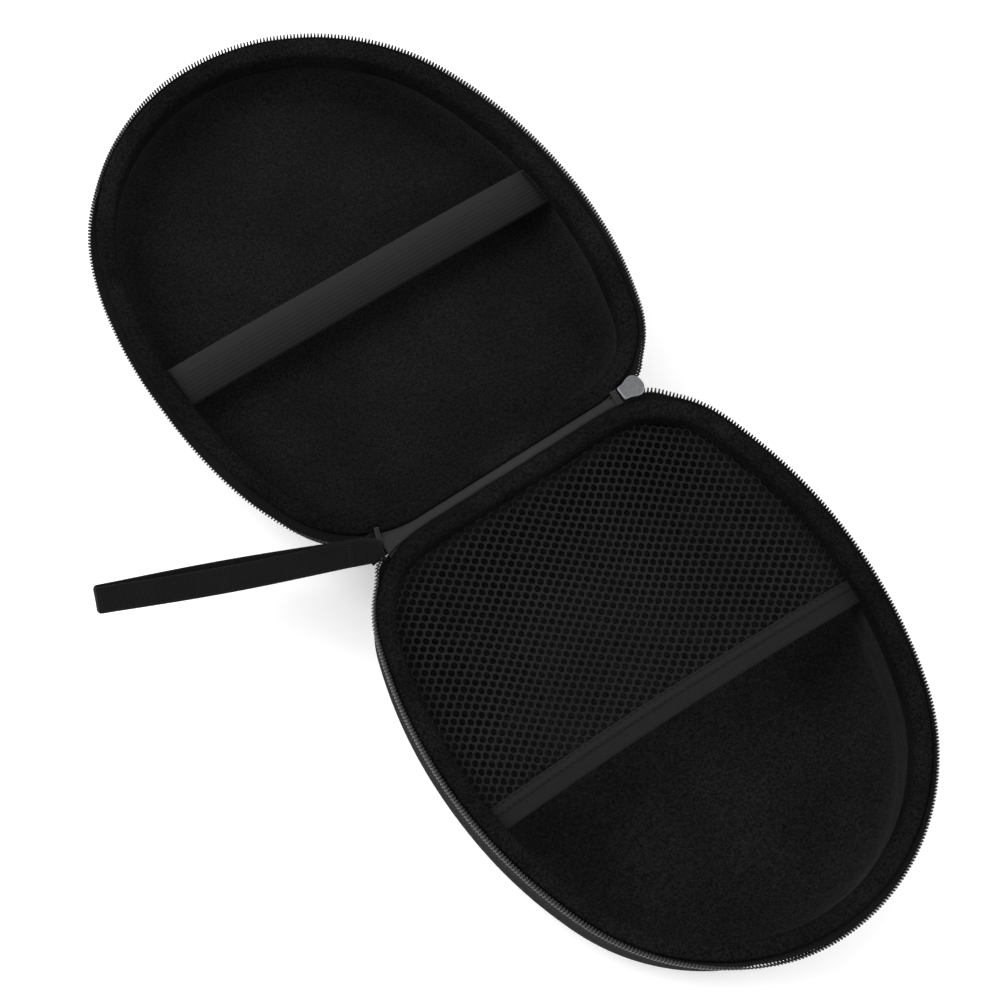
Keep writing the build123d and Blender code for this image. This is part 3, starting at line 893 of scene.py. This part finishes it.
def mesh_net():
    """Net of round holes; each strand is a soft lens in section, and the whole is watertight."""
    rim, hole = net_cell()
    i, j = np.meshgrid(np.arange(-60, 60), np.arange(-60, 60), indexing="ij")
    centres = i.ravel()[:, None] * NET_A + j.ravel()[:, None] * NET_B + NET_MIDDLE
    hem = HEM_V + np.tan(HEM_SKEW) * centres[:, 0] - bowed(centres[:, 0], HEM_BOW)
    keep = (np.abs(centres[:, 0]) < 90) & (centres[:, 1] > 2) & (centres[:, 1] < hem - 1.0)
    centres = centres[keep]
    inset, _, _ = inset_of(centres[:, 0], centres[:, 1])
    centres = centres[inset > TRIM_WIDTH + 0.3]
    key = {}
    flat, lift, faces = [], [], []

    def vertex(point, height, shared):
        mark = (round(point[0] * 50), round(point[1] * 50), height) if shared else None
        if mark in key:
            return key[mark]
        flat.append(point)
        lift.append(height)
        if shared:
            key[mark] = len(flat) - 1
        return len(flat) - 1

    for centre in centres:
        ring = [vertex(centre + p, 0.0, False) for p in hole]
        middle = 0.45 * rim + 0.55 * hole
        for sign in (1, -1):
            mid = [vertex(centre + p, sign * 0.8, False) for p in middle]
            edge = [vertex(centre + p, sign * 1.0, True) for p in rim]
            for a in range(12):
                b = (a + 1) % 12
                faces.append([ring[a], ring[b], mid[b], mid[a]])
                faces.append([mid[a], mid[b], edge[b], edge[a]])
    flat = np.array(flat)
    lift = np.array(lift)
    # close the outer border by joining each lone top edge to the one beneath it
    twin = {n: key[(x, y, -side)] for (x, y, side), n in key.items() if side > 0}
    uses = {}
    for face in faces:
        for a, b in zip(face, face[1:] + face[:1]):
            if a in twin and b in twin:
                uses[frozenset((a, b))] = uses.get(frozenset((a, b)), 0) + 1
    for pair, count in uses.items():
        if count == 1:
            a, b = pair
            faces.append([a, b, twin[b], twin[a]])
    u = flat[:, 0] + 0.7 * np.sin(flat[:, 1] / 17.0 + flat[:, 0] / 29.0)
    v = flat[:, 1] + 0.9 * np.sin(flat[:, 0] / 19.0 + 1.0) + 0.3 * np.sin(flat[:, 0] / 8.0)
    inset, nu, nv = inset_of(u, v)
    over = np.maximum(TRIM_WIDTH - 0.6 - inset, 0)
    u, v = u - nu * over, v - nv * over
    points = BASE.place(u, v, POCKET_W + 0.35 - STRAND_HALF * lift + pocket_drop(u, v))
    corner_uv = flat[np.array([k for face in faces for k in face])]
    piece = make_mesh("pocket_net", points, faces, corner_uv, "mesh")
    settle(piece, "base", "mesh", "mesh_pocket")


def hem_drop(t, a):
    return 0.25 * np.sin(t / 19.0 + 0.5) * (1 - (t / 80.0) ** 2) + 0 * a


def pocket_hem():
    """Folded binding over the net's edge, its two rows of stitches, and the elastic beside it."""
    binding = ribbon_section(4.4, 0.75, 0.18, (-1.35, 1.25), 0.16, 0.25, 44)
    piece = band("pocket_hem_binding", BASE, HEM_V, HEM_SKEW, POCKET_W + 0.35, binding, 220,
                 "hem_elastic", hem_drop, HEM_BOW)
    settle(piece, "base", "mesh", "pocket_binding")
    elastic_v = HEM_V + 4.65
    elastic = ribbon_section(5.3, 0.9, 0.25, (-1.7, -0.6, 0.5, 1.6), 0.28, 0.24, 60)
    piece = band("pocket_hem_elastic", BASE, elastic_v, HEM_SKEW, POCKET_W + 0.1, elastic, 160,
                 "hem_elastic", hem_drop, HEM_BOW)
    settle(piece, "base", "elastic", "pocket_elastic")
    segments = []
    for across in (-1.35, 1.25):
        low, high = band_reach(HEM_V, HEM_SKEW, np.array([across]))
        for t in np.arange(low[0] + 1.5, high[0] - 2.5, 2.6):
            w = POCKET_W + 0.35 - 0.80 + hem_drop(t, 0.0)
            segments.append((band_point(BASE, HEM_V, HEM_SKEW, t, across, w, HEM_BOW),
                             band_point(BASE, HEM_V, HEM_SKEW, t + 1.5, across, w, HEM_BOW)))
    stitches("pocket_hem_thread", "base", segments, 0.2, np.array([0, 0, 1.0]), 0.1,
             ["pocket_stitching"])


# ---- hinge and the pieces on the fold

LEAF_LEFT = -57.0
LEAF_RIGHT = 48.0


def back_v(x):
    """The outline's v at x along the hinge, near the back."""
    over = np.clip(np.abs(x) - BACK_HALF, 0, CORNER_R)
    return BACK_V + CORNER_R - np.sqrt(CORNER_R**2 - over**2)


def hinge_strip():
    """One cloth down both backs and across the fold, a little below the rims."""
    x = np.linspace(LEAF_LEFT, LEAF_RIGHT, 170)
    v0 = back_v(x)
    sway = waves(x, 105.0, (2, 5, 9), 0.16)
    wall = np.array([17.5, 14.0, 10.0, 6.0, 3.6])

    def flank(gap, dip, rise):
        """Half of one face of the cloth, from the wall's foot up to the fold."""
        rows = [(v0 - gap + (w - TAPE_W) * DRAFT, w + 0 * v0) for w in wall]
        rows.append((v0 - gap - 0.05, 2.4 + rise + 0 * v0))
        rows.append((v0 - gap - 0.35, 1.75 + rise + 0 * v0))
        rows.append((v0 * 0.62 - 0.2, 1.42 + rise + sway))
        rows.append((v0 * 0.3, 1.30 + rise + dip + sway))
        return rows

    face = flank(0.08, 0.05, 0.0)
    back = flank(0.9, 0.0, 0.85)
    ridge_top, ridge_under = 1.42, 2.35
    rows = [BASE.place(x, v, w) for v, w in face]
    rows.append(BASE.place(x, 0 * x, ridge_top + sway))
    rows += [LID.place(-x, v, w) for v, w in face[::-1]]
    rows += [LID.place(-x, v, w) for v, w in back]
    rows.append(BASE.place(x, 0 * x, ridge_under + sway))
    rows += [BASE.place(x, v, w) for v, w in back[::-1]]
    points = np.stack(rows, 1)
    middle = points[len(x) // 2]
    across = np.append(running_length(middle), 90)
    piece = swept("hinge_strip_cloth", points, x, across, "hinge_cloth", False)
    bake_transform(piece)
    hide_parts("base_hinge_leaf", "lid_hinge_leaf")


def pillow(name, centre, half_size, slot, nodes, ridge=(), turn=0.0):
    """Small padded cloth block with pressed edges; ridges run across y at the given x."""
    count = 26
    a = np.linspace(-1, 1, count)
    x, y = np.meshgrid(a, a, indexing="ij")
    fill = np.sqrt(np.clip((1 - x**6) * (1 - y**6), 0, 1))
    top = 0.35 + 0.65 * fill
    for place in ridge:
        top = top - 0.38 * np.exp(-(((x - place) / 0.09) ** 2)) * fill
    px = x * half_size[0]
    py = y * half_size[1]
    c, s = math.cos(turn), math.sin(turn)
    up = np.stack([px * c - py * s, px * s + py * c, top * half_size[2]], -1)
    down = up * (1, 1, -1)
    faces, cells = grid_faces(count, count, False, False)
    both = faces.tolist() + (faces + count * count)[:, ::-1].tolist()
    index = np.arange(count * count).reshape(count, count)
    border = np.concatenate([index[0], index[1:, -1], index[-1, -2::-1], index[-2:0:-1, 0]])
    border = border.tolist()
    size = np.array(half_size[:2]) * 2 / count
    uv = (cells * size).reshape(-1, 2).tolist()
    uv += (cells[:, ::-1] * size).reshape(-1, 2).tolist()
    for i, j in zip(border, border[1:] + border[:1]):
        both.append([i, j, j + count * count, i + count * count])
        uv += [(0, 0), (0.3, 0), (0.3, 0.6), (0, 0.6)]
    points = np.vstack([up.reshape(-1, 3), down.reshape(-1, 3)]) + HINGE + np.array(centre)
    piece = make_mesh(name, points, both, uv, slot)
    settle(piece, "fold_ends", slot, *nodes)


def fold_pieces():
    """Cloth tabs that close the fold's two ends and the zipper's closed end."""
    pillow("left_end_tab_cloth", (-60.0, 1.0, -2.3), (4.6, 5.0, 0.6), "webbing",
           ["left_end_tab"], (-0.5, 0.5), math.radians(7))
    pillow("left_end_seam", (-56.5, 3.5, -0.95), (0.85, 3.2, 0.8), "hinge_cloth",
           [], (0.0,), math.radians(-22))
    pillow("right_end_tab_cloth", (48.6, 0.2, -0.9), (1.25, 2.9, 0.6), "hinge_cloth",
           ["right_end_tab"], (-0.3, 0.35), math.radians(-4))
    pillow("zipper_end_cloth", (53.6, 0.0, -1.95), (5.2, 3.6, 0.5), "zipper_tape",
           ["zipper_chain_end"], (-0.6, -0.3, 0.0, 0.3, 0.6))


SLIDER_MIDDLE = 55.3  # along the hinge from its middle
POST_MIDDLE = 57.4
POST_HALF = (1.5, 0.95)
POST_SIDES = 24


def slider_outline(shrink):
    """Spade with a narrow end, a waist and a broad nose, as (x, y) from the hinge's middle."""
    profile = np.array([(50.0, 0.0), (50.0, 1.6), (50.2, 2.5), (50.9, 2.8), (52.1, 2.9),
                        (53.3, 3.25), (54.5, 3.75), (55.8, 4.1), (57.2, 4.1), (58.6, 3.3),
                        (59.6, 1.8), (59.9, 0.0)])
    loop = np.vstack([profile, profile[-2:0:-1] * (1, -1)])
    smooth = smooth_closed(loop, 4)
    step = unit(np.roll(smooth, -1, 0) - np.roll(smooth, 1, 0))
    return smooth + shrink * np.stack([step[:, 1], -step[:, 0]], 1)


def plate(low, high, bevel, dome):
    """Closed plate with the slider's outline, bevelled above and below."""
    rows = []
    for shrink, z in ((bevel * 2.6, low), (bevel, low), (bevel * 0.3, low + bevel * 0.3),
                      (0, low + bevel), (0, high - bevel), (bevel * 0.3, high - bevel * 0.3),
                      (bevel, high), (bevel * 2.6, high + dome * 0.6)):
        loop = slider_outline(shrink)
        rows.append(np.column_stack([loop, np.full(len(loop), z)]))
    grid = np.array(rows)
    count = grid.shape[1]
    faces, _ = grid_faces(len(rows), count, False, True)
    points = grid.reshape(-1, 3)
    uv = points[faces][..., :2].reshape(-1, 2).tolist()
    points = np.vstack([points, [(SLIDER_MIDDLE, 0, low), (SLIDER_MIDDLE, 0, high + dome)]])
    caps, cap_uv = fan_caps(points, len(rows), count)
    return points + HINGE, faces.tolist() + caps, uv + cap_uv


def slider():
    """Two plates joined by an oval post."""
    top_plate = plate(0.3, 1.3, 0.28, 0.12)
    under_plate = plate(-4.2, -3.45, 0.22, 0.0)
    angle = np.linspace(0, 2 * math.pi, POST_SIDES, endpoint=False)
    x, y = POST_MIDDLE + POST_HALF[0] * np.cos(angle), POST_HALF[1] * np.sin(angle)
    post = np.vstack([np.column_stack([x, y, 0 * x + z]) for z in (-3.6, -1.6, 0.45)])
    faces, cells = grid_faces(3, POST_SIDES, False, True)
    ends = [list(range(POST_SIDES)), list(range(2 * POST_SIDES, 3 * POST_SIDES))]
    post_uv = cells.reshape(-1, 2).tolist() + [(0, 0)] * (2 * POST_SIDES)
    points, faces, uv = joined([top_plate, under_plate,
                                (post + HINGE, faces.tolist() + ends, post_uv)])
    piece = make_mesh("slider_plates", points, faces, uv, "slider_metal")
    settle(piece, "slider", "slider_metal", "slider_body")


# ---- wrist strap

WRIST_ROOT = HINGE + np.array([-64.9, 1.6, 0.0])
WRIST_TUCK = 8.0  # the sewn layers run on this far, in between the tab and the shells
WRIST_ALONG = np.array([-0.90995, 0.40133, -0.10453])
WRIST_WIDTH = np.array(JOINTS["wrist_swing"]["axis"])
WRIST_FACE = np.cross(WRIST_WIDTH, WRIST_ALONG)
WRIST_LENGTH = 95.0
WRIST_SINK = 2.2
WEBBING = 1.2
WEBBING_WIDTH = 10.0
RIB_PITCH = 1.15
RIB_HIGH = 0.12
TACK_ALONG = 4.5  # middle of the bar tack, from the root
TACK_HIGH = 1.42


def wrist_layer(share):
    """Half opening between the two layers, share of the way from root to tip."""
    return 0.72 + 2.1 * np.sin(math.pi * np.clip((share - 0.06) / 0.94, 0, 1)) ** 1.2 + 0.5 * share


def wrist_strap():
    """Webbing folded back on itself: sewn flat at the root, open in the middle, bent at the tip."""
    tip_r = wrist_layer(1.0)
    straight = WRIST_LENGTH - tip_r
    out_way = np.linspace(0.0, 1.0, 330)
    reach = -WRIST_TUCK + out_way * (straight + WRIST_TUCK)
    lane = np.stack([reach, wrist_layer(np.clip(reach / straight, 0, 1))], 1)
    bend = np.linspace(math.pi / 2, -math.pi / 2, 22)[1:-1]
    nose = np.stack([straight + tip_r * np.cos(bend), tip_r * np.sin(bend)], 1)
    path = np.vstack([lane, nose, lane[::-1] * (1, -1)])
    step = unit(np.gradient(path, axis=0))
    normal = np.stack([-step[:, 1], step[:, 0]], 1)
    run = running_length(path)
    ribs = RIB_HIGH * np.sin(2 * math.pi * run / RIB_PITCH)
    half_w, half_t = WEBBING_WIDTH / 2, WEBBING / 2
    across = np.linspace(-half_w, half_w, 11)
    edge = np.clip((half_w - np.abs(across)) / 0.5, 0.35, 1)
    section_a = np.concatenate([across, across[::-1]])
    section_t = np.concatenate([half_t * edge, -half_t * edge[::-1]])
    grow = np.sign(section_t)[None, :] * ribs[:, None] * np.append(edge, edge[::-1])[None, :]
    thick = section_t[None, :] + grow
    curl = 0.35 * np.sin(run / 37.0)[:, None] * (section_a / half_w)[None, :] ** 2
    along = path[:, 0][:, None] + normal[:, 0][:, None] * (thick + curl)
    face = path[:, 1][:, None] + normal[:, 1][:, None] * (thick + curl)
    points = (WRIST_ROOT + along[..., None] * WRIST_ALONG + face[..., None] * WRIST_FACE
              + section_a[None, :, None] * WRIST_WIDTH)
    # the tucked end turns level and sinks below the rims
    tucked = np.clip(-along / WRIST_TUCK, 0, 1)
    level = section_a[None, :] * WRIST_WIDTH[2]
    points[..., 2] -= tucked * (WRIST_SINK + 0.85 * level)
    piece = swept("wrist_strap_webbing", points, run, np.append(section_a, section_a[0]),
                  "webbing", False)
    settle(piece, "wrist_loop", "webbing", "wrist_strap")


def wrist_tack():
    """Bar tack on both faces at the strap's root."""
    segments = []
    for height in (TACK_HIGH, -TACK_HIGH):

        def point(shift, row):
            return (WRIST_ROOT + (TACK_ALONG + shift) * WRIST_ALONG + height * WRIST_FACE
                    + row * WRIST_WIDTH)

        segments += zigzag(np.linspace(-3.9, 3.9, 15), 1.3, point)
    stitches("wrist_tack_thread", "wrist_loop", segments, 0.2, WRIST_FACE, 0.05, ["wrist_bartack"])


# ---- build

shells()
rims()
elastic_strap()
strap_tacks()
mesh_net()
pocket_hem()
hinge_strip()
fold_pieces()
slider()
wrist_strap()
wrist_tack()

SLOT_OF = {row["node"]: row["material_slot"] for row in frame["record"]["subparts"]}
for node, obj in frame["nodes"].items():
    obj.data.materials.clear()
    obj.data.materials.append(MATERIALS[SLOT_OF[node]])


# ---- floor, light and camera

def soft_light(name, place, size, power, target):
    data = bpy.data.lights.new(name, "AREA")
    data.shape = "DISK"
    data.size = size
    data.energy = power
    lamp = add_object(name, data)
    lamp.location = place
    aim = Vector(target) - Vector(place)
    lamp.rotation_euler = aim.to_track_quat("-Z", "Y").to_euler()


def studio():
    scene = bpy.context.scene
    scene.view_settings.view_transform = "Standard"
    world = bpy.data.worlds.new("studio")
    scene.world = world
    world.use_nodes = True
    background = world.node_tree.nodes["Background"].inputs
    background["Color"].default_value = (1, 1, 1, 1)
    background["Strength"].default_value = 0.9
    target = tuple(HINGE * MM)
    soft_light("key", (-1.1, 0.9, 1.5), 1.2, 26.0, target)
    soft_light("fill", (1.3, -0.9, 1.3), 1.6, 12.0, target)
    size = 4.0
    mesh = bpy.data.meshes.new("floor")
    z = cad_low.z - 0.0004
    corners = [(-size, -size, z), (size, -size, z), (size, size, z), (-size, size, z)]
    mesh.from_pydata(corners, [], [(0, 1, 2, 3)])
    mesh.materials.append(FLOOR)
    add_object("floor", mesh)


def camera():
    """Looks steeply down from the base's left, turned so that the lid lies at the upper left."""
    azimuth, elevation, roll = map(math.radians, (-58.13, 67.72, 23.94))
    back = np.array([math.sin(azimuth) * math.cos(elevation),
                     -math.cos(azimuth) * math.cos(elevation), math.sin(elevation)])
    level = np.array([math.cos(azimuth), math.sin(azimuth), 0.0])
    upright = np.cross(back, level)
    right = level * math.cos(roll) + upright * math.sin(roll)
    up = np.cross(back, right)
    target = HINGE + np.array([-9.8, -8.4, -5.2])
    distance = 1200.0
    data = bpy.data.cameras.new("camera")
    data.lens = 119.4
    data.clip_start = 0.05
    data.clip_end = 20.0
    obj = add_object("camera", data)
    turn = Matrix((right, up, back)).transposed()
    obj.matrix_world = Matrix.Translation((target + back * distance) * MM) @ turn.to_4x4()
    bpy.context.scene.camera = obj


studio()
camera()
